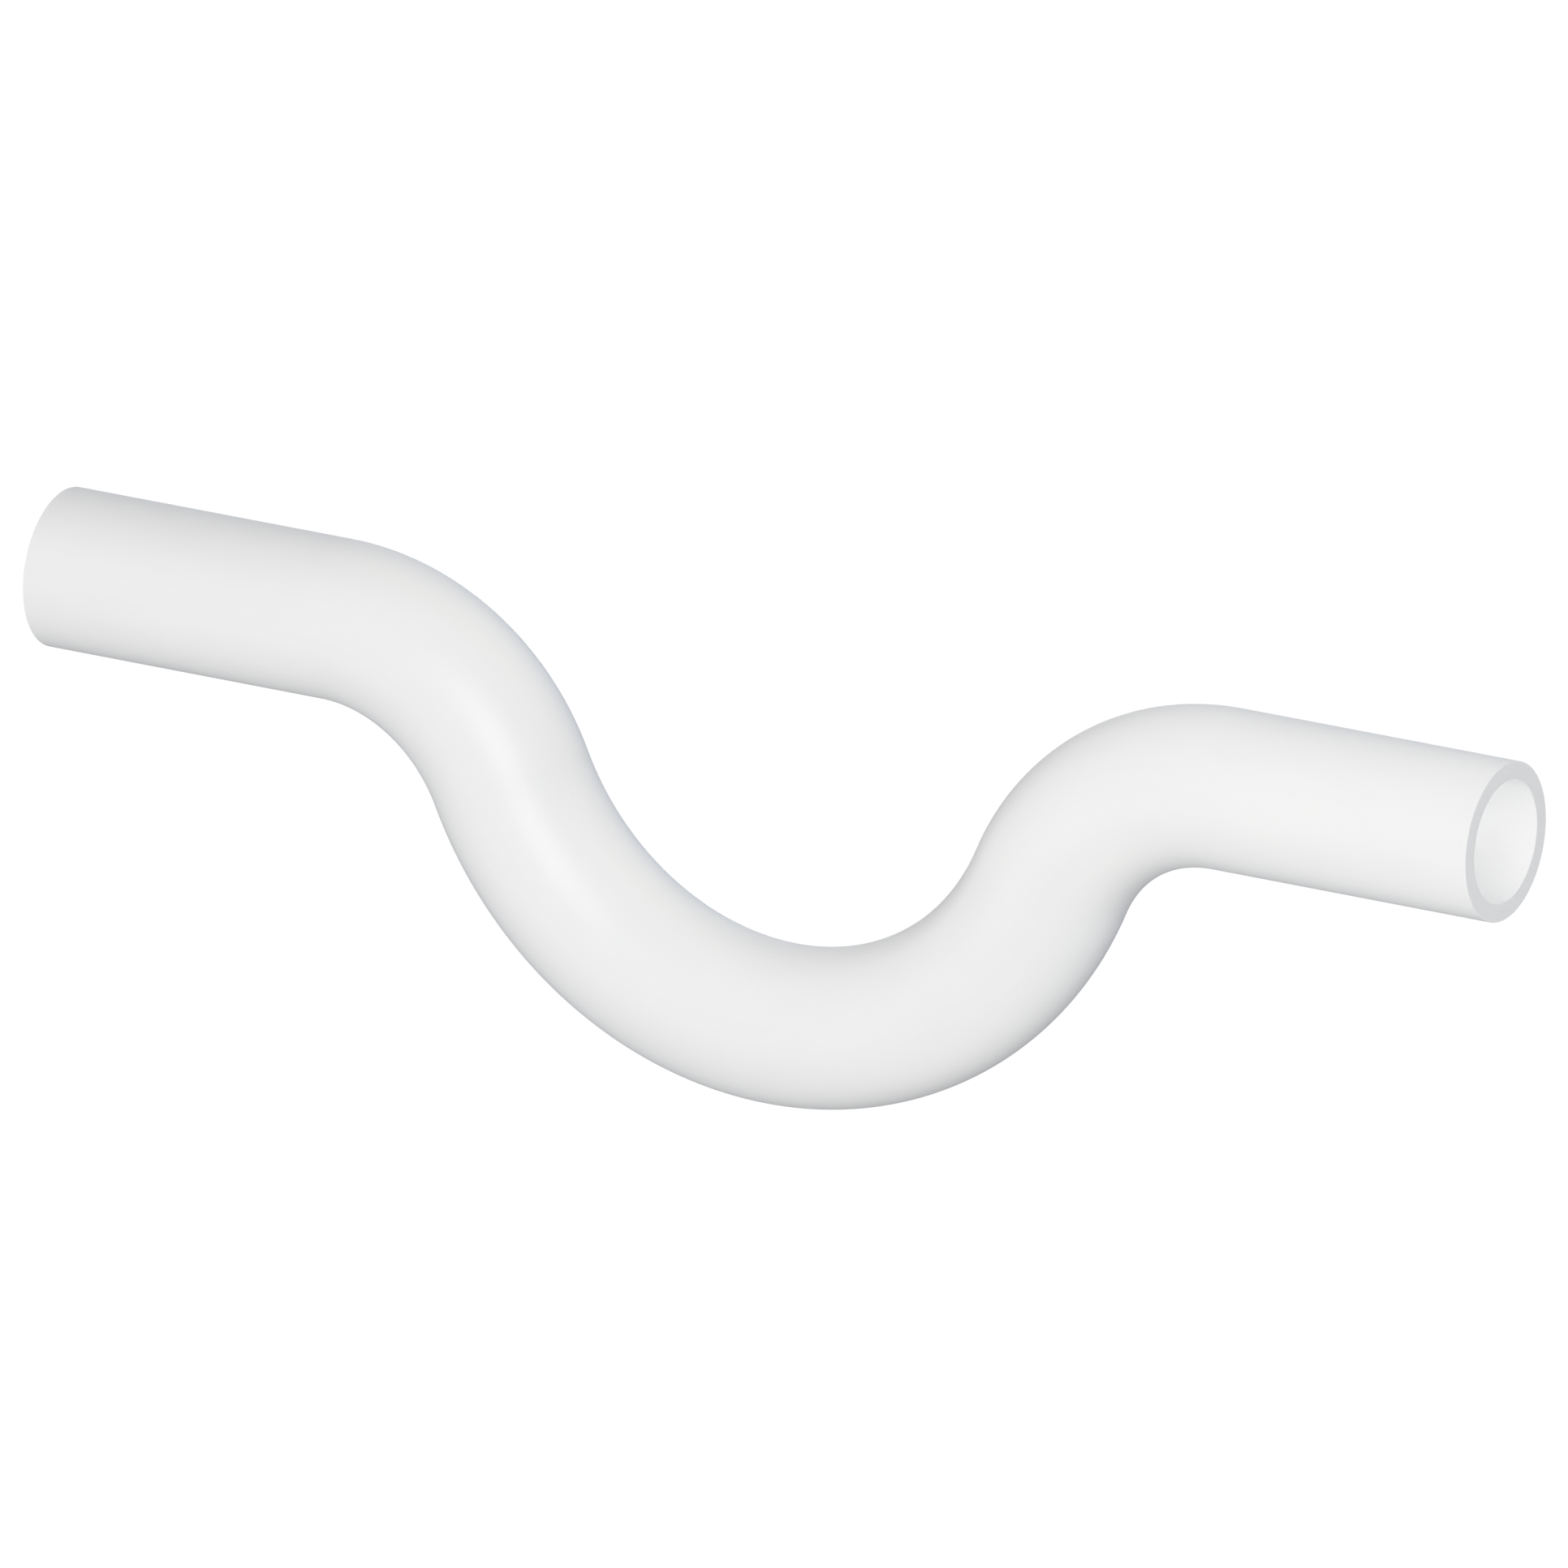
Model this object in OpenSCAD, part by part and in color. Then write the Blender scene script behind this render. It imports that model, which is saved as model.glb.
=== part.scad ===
// Condensate trap: one length of rigid plastic pipe that runs level, dips
// through a U bend and runs level again on the same line. Water that stays
// in the dip closes the pipe to air.
//
// Frame: millimetres, +Z up. The origin is the centre of the inlet's end face,
// and +X is the line of the run, the way the water goes. The pipe's centreline
// lies in the XZ plane, and the dip hangs below the run.

/* [Pipe] */
// Outside diameter of the pipe
pipe_od = 26.67; // [20:0.01:34]
// Thickness of the pipe's wall
wall_t = 3; // [1.6:0.1:4]

/* [Run] */
// Length of each level end, from its rim to the start of the bend
straight_len = 52; // [20:1:150]
// Radius of the two shoulder bends, at the centreline
shoulder_r = 36; // [24:0.5:80]
// Radius of the U bend at the bottom, at the centreline
ubend_r = 55.5; // [24:0.5:120]
// Angle that each shoulder turns through, which is also the slope of the legs
turn_deg = 66.8; // [20:0.1:85]

/* [Rims] */
// Width of the broken edge around the inside and outside of both rims
edge_break = 0.1; // [0.1:0.1:0.6]

/* [Finish] */
// Red share of the plastic's colour
tint_r = 0.93; // [0:0.01:1]
// Green share of the plastic's colour
tint_g = 0.93; // [0:0.01:1]
// Blue share of the plastic's colour
tint_b = 0.93; // [0:0.01:1]

/* [Hidden] */

// Inside and outside radius of the pipe
pipe_r = pipe_od / 2;
bore_r = pipe_r - wall_t;

// Middle of the U bend along the run, and the height of its centre
mid_x = straight_len + (shoulder_r + ubend_r) * sin(turn_deg);
ubend_z = (shoulder_r + ubend_r) * cos(turn_deg) - shoulder_r;

// Overall length of the run, rim to rim
run_len = 2 * mid_x;

// Drop of the centreline from the run to the bottom of the dip
dip_drop = (shoulder_r + ubend_r) * (1 - cos(turn_deg));

$fn = 96;

// Half of the level end's section, in radius and distance from the rim
function end_section(len) = [
    [bore_r + edge_break, 0],
    [pipe_r - edge_break, 0],
    [pipe_r, edge_break],
    [pipe_r, len],
    [bore_r, len],
    [bore_r, edge_break]
];

// The pipe's ring section, used by every bend
module ring_section() {
    difference() {
        circle(r = pipe_r);
        circle(r = bore_r);
    }
}

// A level end with its rim at the origin, running along +X
module level_end() {
    rotate([0, 90, 0])
        rotate_extrude()
            polygon(end_section(straight_len));
}

// A bend of radius r about the Y axis through the origin. It starts at the
// angle from_deg and turns through sweep_deg, both counted from +X towards +Z.
module bend(r, from_deg, sweep_deg) {
    rotate([90, 0, 0])
        rotate_extrude(angle = sweep_deg, start = from_deg)
            translate([r, 0])
                ring_section();
}

// Moves its children by whole hundredths first and then by the remainder, so
// that neighbouring lengths of pipe meet on exactly the same plane
module place(v) {
    coarse = [for (c = v) round(c * 100) / 100];
    translate(coarse)
        translate(v - coarse)
            children();
}

// Everything on the inlet's side of the U bend
module inlet_side() {
    level_end();
    place([straight_len, 0, -shoulder_r])
        bend(shoulder_r, 90 - turn_deg, turn_deg);
}

// The whole trap, moulded as one piece of pipe
module trap_tube() {
    color([tint_r, tint_g, tint_b])
    union() {
        inlet_side();
        place([mid_x, 0, ubend_z])
            bend(ubend_r, 270 - turn_deg, 2 * turn_deg);
        place([run_len, 0, 0])
            mirror([1, 0, 0])
                inlet_side();
    }
}

trap_tube();
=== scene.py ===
import math

import bpy
import numpy as np
from mathutils import Matrix, Vector


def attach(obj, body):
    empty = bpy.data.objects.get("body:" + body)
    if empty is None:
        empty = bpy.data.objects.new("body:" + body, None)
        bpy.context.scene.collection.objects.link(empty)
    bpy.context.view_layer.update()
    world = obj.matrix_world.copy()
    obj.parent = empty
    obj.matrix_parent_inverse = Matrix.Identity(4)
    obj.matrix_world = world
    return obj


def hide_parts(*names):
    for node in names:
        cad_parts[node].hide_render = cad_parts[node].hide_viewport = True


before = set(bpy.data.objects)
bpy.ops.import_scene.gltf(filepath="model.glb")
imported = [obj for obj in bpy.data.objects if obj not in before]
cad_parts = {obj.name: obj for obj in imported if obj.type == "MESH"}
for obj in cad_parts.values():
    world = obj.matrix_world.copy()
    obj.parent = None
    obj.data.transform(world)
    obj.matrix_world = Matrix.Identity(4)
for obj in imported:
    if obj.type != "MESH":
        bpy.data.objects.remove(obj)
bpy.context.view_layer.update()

# ---------------------------------------------------------------- the pipe, in metres
PIPE_R = 0.013335  # outside radius
BORE_R = 0.010335  # inside radius
LEVEL = 0.052  # each level end
SHOULDER_R = 0.036  # centreline radius of the two shoulders
UBEND_R = 0.0555  # centreline radius of the U bend
TURN = math.radians(66.8)  # how far each shoulder turns
BREAK = 0.0001  # broken edge of the four rims

MID_X = LEVEL + (SHOULDER_R + UBEND_R) * math.sin(TURN)
UBEND_Z = (SHOULDER_R + UBEND_R) * math.cos(TURN) - SHOULDER_R
RUN = 2 * MID_X
HALF = LEVEL + SHOULDER_R * TURN + UBEND_R * TURN
WAY = 2 * HALF  # length of the centreline

AROUND = 168  # faces round the pipe


def spine(s):
    """Centre and direction of the pipe at length s from the inlet's end, in the XZ plane."""
    q = WAY - s if s > HALF else s
    if q <= LEVEL:
        x, z, tx, tz = q, 0.0, 1.0, 0.0
    elif q <= LEVEL + SHOULDER_R * TURN:
        a = (q - LEVEL) / SHOULDER_R
        x = LEVEL + SHOULDER_R * math.sin(a)
        z = -SHOULDER_R * (1 - math.cos(a))
        tx, tz = math.cos(a), -math.sin(a)
    else:
        a = TURN - (q - LEVEL - SHOULDER_R * TURN) / UBEND_R
        x = MID_X - UBEND_R * math.sin(a)
        z = UBEND_Z - UBEND_R * math.cos(a)
        tx, tz = math.cos(a), -math.sin(a)
    if s > HALF:
        x, tz = RUN - x, -tz
    return x, z, tx, tz


def stops(bend_step, level_step):
    """Lengths along the pipe at which a ring stands: closer in the bends, and one at each end of every arc."""
    marks = [
        (BREAK, LEVEL, level_step),
        (LEVEL, LEVEL + SHOULDER_R * TURN, bend_step),
        (LEVEL + SHOULDER_R * TURN, WAY - LEVEL - SHOULDER_R * TURN, bend_step * 1.25),
        (WAY - LEVEL - SHOULDER_R * TURN, WAY - LEVEL, bend_step),
        (WAY - LEVEL, WAY - BREAK, level_step),
    ]
    found = [BREAK]
    for a, b, step in marks:
        n = max(1, round((b - a) / step))
        found += [a + (b - a) * i / n for i in range(1, n + 1)]
    return found


def rim(at_end, from_r, to_r):
    """Stations (s, r, normal along, normal outward) over one cut end, from the wall at from_r to the wall at to_r, with both edges rounded."""
    out = []
    sign = 1 if to_r > from_r else -1
    steps = 5
    for i in range(1, steps + 1):  # off the first wall onto the flat
        a = math.pi / 2 * i / steps
        out.append(
            (
                at_end[0] + at_end[1] * BREAK * (1 - math.sin(a)),
                from_r + sign * BREAK * (1 - math.cos(a)),
                -at_end[1] * math.sin(a),
                -sign * math.cos(a),
            )
        )
    lo, hi = from_r + sign * BREAK, to_r - sign * BREAK
    for i in range(1, 4):
        out.append((at_end[0], lo + (hi - lo) * i / 4, -at_end[1], 0.0))
    for i in range(0, steps):  # off the flat onto the second wall
        a = math.pi / 2 * i / steps
        out.append(
            (
                at_end[0] + at_end[1] * BREAK * (1 - math.cos(a)),
                to_r - sign * BREAK * (1 - math.sin(a)),
                -at_end[1] * math.cos(a),
                sign * math.sin(a),
            )
        )
    return out


def build_tube():
    """The whole pipe as one closed skin of quads: outside, outlet's cut end, bore, inlet's cut end."""
    outer = [(s, PIPE_R, 0.0, 1.0) for s in stops(0.00115, 0.0026)]
    inner = [(s, BORE_R, 0.0, -1.0) for s in reversed(stops(0.00115, 0.0026))]
    loop = (
        [(k, "skin") for k in outer]
        + [(k, "cut") for k in rim((WAY, -1), PIPE_R, BORE_R)]
        + [(k, "bore") for k in inner]
        + [(k, "cut") for k in rim((0.0, 1), BORE_R, PIPE_R)]
    )
    n, m = len(loop), AROUND
    s = np.array([k[0] for k, _ in loop])
    r = np.array([k[1] for k, _ in loop])
    na = np.array([k[2] for k, _ in loop])
    nr = np.array([k[3] for k, _ in loop])
    way = np.array([spine(x) for x in s])
    phi = 2 * np.pi * np.arange(m) / m
    c, d = np.cos(phi), np.sin(phi)
    # across the pipe: Y, and the direction square to both Y and the centreline
    x = way[:, 0, None] - way[:, 3, None] * r[:, None] * d
    y = r[:, None] * c + 0 * x
    z = way[:, 1, None] + way[:, 2, None] * r[:, None] * d
    co = np.stack([x, y, z], -1).reshape(-1, 3)
    nx = way[:, 2, None] * na[:, None] - way[:, 3, None] * nr[:, None] * d
    ny = nr[:, None] * c + 0 * nx
    nz = way[:, 3, None] * na[:, None] + way[:, 2, None] * nr[:, None] * d
    normal = np.stack([nx, ny, nz], -1).reshape(-1, 3)
    # the same points on a straight pipe, which the patterns follow through the bends
    unbent = np.stack(
        [s[:, None] + 0 * x, r[:, None] * c + 0 * x, r[:, None] * d + 0 * x], -1
    ).reshape(-1, 3)

    faces, kinds, marks = [], [], []
    for i in range(n):
        j = (i + 1) % n
        kind = "cut" if "cut" in (loop[i][1], loop[j][1]) else loop[i][1]
        for k in range(m):
            k2 = (k + 1) % m
            faces.append((i * m + k, j * m + k, j * m + k2, i * m + k2))
            kinds.append(kind)
            marks.append((i, k))
    me = bpy.data.meshes.new("trap_pipe")
    me.from_pydata(co.tolist(), [], faces)
    me.update()
    if me.polygons[0].normal.dot(Vector(normal[0])) < 0:
        me.flip_normals()

    straight = me.attributes.new("unbent", "FLOAT_VECTOR", "POINT")
    straight.data.foreach_set("vector", unbent.astype(np.float32).ravel())

    # one clean layout: outside strip, bore strip, and the two cut ends as rings
    uv = me.uv_layers.new(name="OFBake")
    cut_far = 1.0 / (2 * PIPE_R)
    for poly in me.polygons:
        i, k = marks[poly.index]
        kind = kinds[poly.index]
        for li in poly.loop_indices:
            v = me.loops[li].vertex_index
            vi, vk = divmod(v, m)
            turn = vk / m
            if k == m - 1 and vk == 0:
                turn = 1.0
            if kind == "skin":
                place = (0.004 + 0.992 * s[vi] / WAY, 0.004 + 0.436 * turn)
            elif kind == "bore":
                place = (0.004 + 0.992 * s[vi] / WAY, 0.448 + 0.340 * turn)
            else:
                far = s[vi] > HALF
                # rings, laid flat: the wall side of a rounded edge is folded out a little
                if r[vi] > (PIPE_R + BORE_R) / 2:
                    rho = r[vi] + (abs(s[vi] - (WAY if far else 0.0)))
                else:
                    rho = r[vi] - (abs(s[vi] - (WAY if far else 0.0)))
                rad = 0.098 * rho / (PIPE_R + BREAK)
                cx = 0.62 if far else 0.38
                place = (cx + rad * math.cos(phi[vk]), 0.896 + rad * math.sin(phi[vk]))
            uv.data[li].uv = place

    me.polygons.foreach_set("use_smooth", [True] * len(faces))
    me.polygons.foreach_set(
        "material_index", [1 if kind == "cut" else 0 for kind in kinds]
    )
    me.normals_split_custom_set_from_vertices(normal.tolist())
    me.update()
    me.validate()
    tube = bpy.data.objects.new("trap_pipe", me)
    bpy.context.scene.collection.objects.link(tube)
    return tube


# ---------------------------------------------------------------- materials


class Tree:
    """Short forms for building a node tree."""

    def __init__(self, tree):
        self.tree = tree

    def add(self, kind, **values):
        node = self.tree.nodes.new(kind)
        for key, value in values.items():
            setattr(node, key, value)
        return node

    def link(self, a, b):
        self.tree.links.new(a, b)

    def math(self, operation, a, b=None, c=None, clamp=False):
        node = self.add("ShaderNodeMath", operation=operation, use_clamp=clamp)
        for socket, value in zip(node.inputs, (a, b, c)):
            if value is None:
                continue
            if isinstance(value, (int, float)):
                socket.default_value = value
            else:
                self.link(value, socket)
        return node.outputs[0]

    def stretch(self, vector, scale, shift=(0, 0, 0)):
        node = self.add("ShaderNodeMapping")
        node.inputs["Location"].default_value = shift
        node.inputs["Scale"].default_value = scale
        self.link(vector, node.inputs["Vector"])
        return node.outputs[0]

    def noise(self, vector, scale, detail=2.0, rough=0.5, distortion=0.0):
        node = self.add("ShaderNodeTexNoise")
        node.inputs["Scale"].default_value = scale
        node.inputs["Detail"].default_value = detail
        node.inputs["Roughness"].default_value = rough
        node.inputs["Distortion"].default_value = distortion
        self.link(vector, node.inputs["Vector"])
        return node.outputs["Fac"]

    def remap(self, value, a, b, c, d, smooth=False):
        node = self.add("ShaderNodeMapRange")
        node.interpolation_type = "SMOOTHSTEP" if smooth else "LINEAR"
        for name, x in (("From Min", a), ("From Max", b), ("To Min", c), ("To Max", d)):
            node.inputs[name].default_value = x
        self.link(value, node.inputs["Value"])
        return node.outputs["Result"]

    def blend(self, fac, a, b):
        node = self.add("ShaderNodeMix", data_type="RGBA")
        self.link(fac, node.inputs[0])
        for socket, value in ((node.inputs[6], a), (node.inputs[7], b)):
            if isinstance(value, tuple):
                socket.default_value = (*value, 1.0)
            else:
                self.link(value, socket)
        return node.outputs[2]

    def bump(self, height, distance, normal=None):
        node = self.add("ShaderNodeBump")
        node.inputs["Strength"].default_value = 1.0
        node.inputs["Distance"].default_value = distance
        self.link(height, node.inputs["Height"])
        if normal is not None:
            self.link(normal, node.inputs["Normal"])
        return node.outputs["Normal"]


def new_material(name):
    mat = bpy.data.materials.new(name)
    mat.use_nodes = True
    mat.node_tree.nodes.clear()
    t = Tree(mat.node_tree)
    bsdf = t.add("ShaderNodeBsdfPrincipled")
    out = t.add("ShaderNodeOutputMaterial")
    t.link(bsdf.outputs["BSDF"], out.inputs["Surface"])
    return mat, t, bsdf


def unbent_mm(t):
    """The pipe's own coordinates in millimetres, as if it had never been bent: X along, Y and Z across."""
    at = t.add("ShaderNodeAttribute", attribute_name="unbent")
    return t.stretch(at.outputs["Vector"], (1000.0, 1000.0, 1000.0))


SKIN_ROUGH = 0.39
SKIN_LOW, SKIN_HIGH = (0.888, 0.889, 0.890), (0.912, 0.912, 0.911)


def pvc_skin():
    """White rigid PVC as it leaves the extruder: a satin skin with faint lines along the pipe."""
    mat, t, bsdf = new_material("white_pvc_skin")
    p = unbent_mm(t)
    along = t.stretch(p, (0.012, 1.0, 1.0))
    fine = t.noise(along, 2.6, 2.0, 0.55)
    broad = t.noise(t.stretch(p, (0.02, 1.0, 1.0), (7.0, 3.0, 1.0)), 0.42, 1.0, 0.5)
    ripple = t.noise(p, 0.16, 2.0, 0.45)
    cloud = t.noise(t.stretch(p, (0.5, 1.0, 1.0), (31.0, 0.0, 12.0)), 0.055, 3.0, 0.55)
    grain = t.noise(p, 5.5, 2.0, 0.6)

    tone = t.math("ADD", t.math("MULTIPLY", cloud, 0.72), t.math("MULTIPLY", fine, 0.28))
    t.link(
        t.blend(t.remap(tone, 0.34, 0.66, 0.0, 1.0), SKIN_LOW, SKIN_HIGH),
        bsdf.inputs["Base Color"],
    )
    rough = t.math("ADD", t.math("MULTIPLY", cloud, 0.5), t.math("MULTIPLY", fine, 0.5))
    t.link(
        t.remap(rough, 0.3, 0.7, SKIN_ROUGH - 0.035, SKIN_ROUGH + 0.035),
        bsdf.inputs["Roughness"],
    )
    n = t.bump(ripple, 0.00003)
    n = t.bump(broad, 0.000006, n)
    n = t.bump(fine, 0.0000016, n)
    n = t.bump(grain, 0.0000006, n)
    t.link(n, bsdf.inputs["Normal"])
    bsdf.inputs["IOR"].default_value = 1.5
    return mat


def pvc_cut():
    """The sawn ends: chalkier than the skin, with fine marks left by the blade across the face."""
    mat, t, bsdf = new_material("white_pvc_cut")
    p = unbent_mm(t)
    turned = t.add("ShaderNodeVectorRotate", rotation_type="X_AXIS")
    turned.inputs["Angle"].default_value = math.radians(24)
    t.link(p, turned.inputs["Vector"])
    marks = t.noise(t.stretch(turned.outputs[0], (1.0, 0.10, 3.4)), 1.0, 3.0, 0.6)
    grain = t.noise(p, 7.0, 2.0, 0.6)
    t.link(
        t.blend(t.remap(marks, 0.3, 0.7, 0.0, 1.0), (0.868, 0.869, 0.871), (0.9, 0.9, 0.9)),
        bsdf.inputs["Base Color"],
    )
    t.link(t.remap(grain, 0.3, 0.7, 0.52, 0.62), bsdf.inputs["Roughness"])
    n = t.bump(marks, 0.000006)
    n = t.bump(grain, 0.0000012, n)
    t.link(n, bsdf.inputs["Normal"])
    bsdf.inputs["IOR"].default_value = 1.5
    return mat


tube = build_tube()
tube.data.materials.append(pvc_skin())
tube.data.materials.append(pvc_cut())
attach(tube, "root")
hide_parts("trap_tube")

# ---------------------------------------------------------------- camera
AZIMUTH, ELEVATION = math.radians(30.0464), math.radians(19.3473)
FRAME_WIDTH = 0.25628  # metres across the picture at the pipe
HALF_VIEW = math.radians(0.66)  # a very long lens, so that level lines stay parallel

right = Vector((math.cos(AZIMUTH), math.sin(AZIMUTH), 0))
up = Vector(
    (
        -math.sin(AZIMUTH) * math.sin(ELEVATION),
        math.cos(AZIMUTH) * math.sin(ELEVATION),
        math.cos(ELEVATION),
    )
)
back = Vector(
    (
        math.sin(AZIMUTH) * math.cos(ELEVATION),
        -math.cos(AZIMUTH) * math.cos(ELEVATION),
        math.sin(ELEVATION),
    )
)
aim = Vector((MID_X, 0, 0)) + right * 0.0005316 - up * 0.0131531

cam = bpy.data.objects.new("camera", bpy.data.cameras.new("camera"))
bpy.context.scene.collection.objects.link(cam)
bpy.context.scene.camera = cam
cam.data.type = "PERSP"
cam.data.sensor_fit = "AUTO"
cam.data.sensor_width = 36.0
cam.data.lens = 18.0 / math.tan(HALF_VIEW)
distance = FRAME_WIDTH / 2 / math.tan(HALF_VIEW)
turn = Matrix((right, up, back)).transposed().to_4x4()
cam.matrix_world = Matrix.Translation(aim + back * distance) @ turn
cam.data.clip_start, cam.data.clip_end = 0.1, 60.0
cam.data.dof.use_dof = False

# ---------------------------------------------------------------- floor
FLOOR_Z = -0.30
floor_mesh = bpy.data.meshes.new("floor")
floor_mesh.from_pydata(
    [(-30, -30, FLOOR_Z), (30, -30, FLOOR_Z), (30, 30, FLOOR_Z), (-30, 30, FLOOR_Z)],
    [],
    [(0, 1, 2, 3)],
)
floor = bpy.data.objects.new("floor", floor_mesh)
bpy.context.scene.collection.objects.link(floor)
floor_mat = bpy.data.materials.new("pale_floor")
floor_mat.use_nodes = True
floor_mat.node_tree.nodes.clear()
t = Tree(floor_mat.node_tree)
glow = t.add("ShaderNodeEmission")
glow.inputs["Color"].default_value = (1, 1, 1, 1)
glow.inputs["Strength"].default_value = 1.02
out = t.add("ShaderNodeOutputMaterial")
t.link(glow.outputs[0], out.inputs["Surface"])
floor_mesh.materials.append(floor_mat)
floor.visible_diffuse = False
floor.visible_glossy = False
floor.visible_transmission = False
floor.visible_shadow = False

# ---------------------------------------------------------------- light
scene = bpy.context.scene
world = bpy.data.worlds.new("studio")
scene.world = world
world.use_nodes = True
world.node_tree.nodes.clear()
world.cycles.sampling_method = "NONE"

# Wide soft panels far round the pipe. Each has a direction (towards the right,
# the top and the camera), how tightly it is gathered, and its light in red,
# green and blue.
S45 = math.sqrt(0.5)
FILL = [  # light on the plastic itself
    ((0.0, 0.0, 1.0), 1, (0.356, 0.367, 0.387)),
    ((1.0, 0.0, 0.0), 5, (0.554, 0.538, 0.532)),
    ((0.0, 1.0, 0.0), 5, (0.808, 0.810, 0.824)),
    ((-1.0, 0.0, 0.0), 5, (0.983, 0.995, 1.020)),
    ((-S45, -S45, 0.0), 5, (0.546, 0.516, 0.465)),
    ((0.0, -1.0, 0.0), 5, (0.306, 0.326, 0.356)),
    ((0.0, 0.0, -1.0), 2, (0.300, 0.300, 0.300)),
]
SHINE = [  # light that its gloss mirrors
    ((0.0, -1.0, 0.0), 6, (1.480, 1.391, 1.270)),
    ((S45, -S45, 0.0), 6, (1.405, 1.454, 1.511)),
    ((S45, 0.0, -S45), 6, (0.092, 0.155, 0.256)),
    ((-0.5, -0.5, -S45), 6, (0.348, 0.382, 0.439)),
    ((0.5, 0.5, -S45), 6, (0.164, 0.336, 0.591)),
]
NEAR = [  # soft boxes close to the pipe: place in metres, watts and tint
    ((-0.35, -0.20, 0.15), 0.232, (0.99, 1.00, 1.01)),
    ((-0.30, 0.25, 0.15), 0.128, (1.04, 1.01, 0.96)),
    ((0.00, 0.30, 0.20), 0.124, (1.01, 1.01, 0.98)),
    ((0.30, 0.25, 0.15), 0.192, (0.97, 1.00, 1.04)),
    ((0.20, 0.35, -0.10), 0.199, (1.10, 1.03, 0.87)),
    ((0.30, -0.25, 0.15), 0.169, (0.98, 1.01, 1.01)),
    ((0.25, -0.25, 0.35), 0.210, (1.00, 1.00, 1.00)),
]


def panels(t, direction, table):
    """The light that comes from a direction, summed over a table of panels."""
    total = None
    for (x, y, z), power, colour in table:
        dot = t.add("ShaderNodeVectorMath", operation="DOT_PRODUCT")
        t.link(direction, dot.inputs[0])
        dot.inputs[1].default_value = right * x + up * y + back * z
        level = t.math("MAXIMUM", dot.outputs["Value"], 0.0)
        if power > 1:
            level = t.math("POWER", level, float(power))
        scale = t.add("ShaderNodeVectorMath", operation="SCALE")
        scale.inputs[0].default_value = colour
        t.link(level, scale.inputs["Scale"])
        if total is None:
            total = scale.outputs["Vector"]
            continue
        add = t.add("ShaderNodeVectorMath", operation="ADD")
        t.link(total, add.inputs[0])
        t.link(scale.outputs["Vector"], add.inputs[1])
        total = add.outputs["Vector"]
    return total


t = Tree(world.node_tree)
direction = t.add("ShaderNodeTexCoord").outputs["Generated"]
ray = t.add("ShaderNodeLightPath")
light = t.add("ShaderNodeVectorMath", operation="SCALE")
t.link(panels(t, direction, FILL), light.inputs[0])
t.link(ray.outputs["Is Diffuse Ray"], light.inputs["Scale"])
gloss = t.add("ShaderNodeVectorMath", operation="SCALE")
t.link(panels(t, direction, SHINE), gloss.inputs[0])
t.link(ray.outputs["Is Glossy Ray"], gloss.inputs["Scale"])
both = t.add("ShaderNodeVectorMath", operation="ADD")
t.link(light.outputs["Vector"], both.inputs[0])
t.link(gloss.outputs["Vector"], both.inputs[1])
sky = t.add("ShaderNodeBackground")
t.link(t.blend(ray.outputs["Is Camera Ray"], both.outputs["Vector"], (1.02, 1.02, 1.02)), sky.inputs["Color"])
sky.inputs["Strength"].default_value = 1.0
out = t.add("ShaderNodeOutputWorld")
t.link(sky.outputs[0], out.inputs["Surface"])


def lamp(name, kind, energy, size, place, colour=(1.0, 1.0, 1.0)):
    """A light that no camera sees."""
    data = bpy.data.lights.new(name, kind)
    data.energy = energy
    data.color = colour
    if kind == "AREA":
        data.shape = "DISK"
        data.size = size
    else:
        data.shadow_soft_size = size
    made = bpy.data.objects.new(name, data)
    scene.collection.objects.link(made)
    made.location = place
    made.visible_camera = False
    return made


def soft_box(name, energy, size, away, colour=(1.0, 1.0, 1.0)):
    """A round soft light at a place seen from the pipe's middle, turned to face it."""
    made = lamp(name, "AREA", energy, size, Vector((MID_X, 0, -0.02)) + away, colour)
    made.rotation_mode = "QUATERNION"
    made.rotation_quaternion = away.to_track_quat("Z", "Y")
    return made


soft_box("key", 3.94, 0.70, back * 1.0, (1.025, 1.004, 0.971))
behind = soft_box("back_light", 4.0, 0.50, (up * 0.35 - back * 0.94).normalized())
behind.visible_glossy = False
for (x, y, z), energy, colour in NEAR:
    near = soft_box("near_box", energy, 0.25, right * x + up * y + back * z, colour)
    near.visible_glossy = False
# a little light inside each open end, because a white bore reads as bright as the outside
for far, share in ((False, 0.6), (True, 1.0)):
    for depth, energy in ((0.018, 0.00132), (0.036, 0.00109), (0.056, 0.00056), (0.080, 0.00028)):
        x, z, _, _ = spine(WAY - depth if far else depth)
        small = lamp("bore_light", "POINT", energy * share, 0.004, (x, 0, z))
        small.visible_glossy = False

scene.view_settings.view_transform = "Standard"
scene.view_settings.look = "None"
scene.view_settings.exposure = 0.0
scene.view_settings.gamma = 1.0
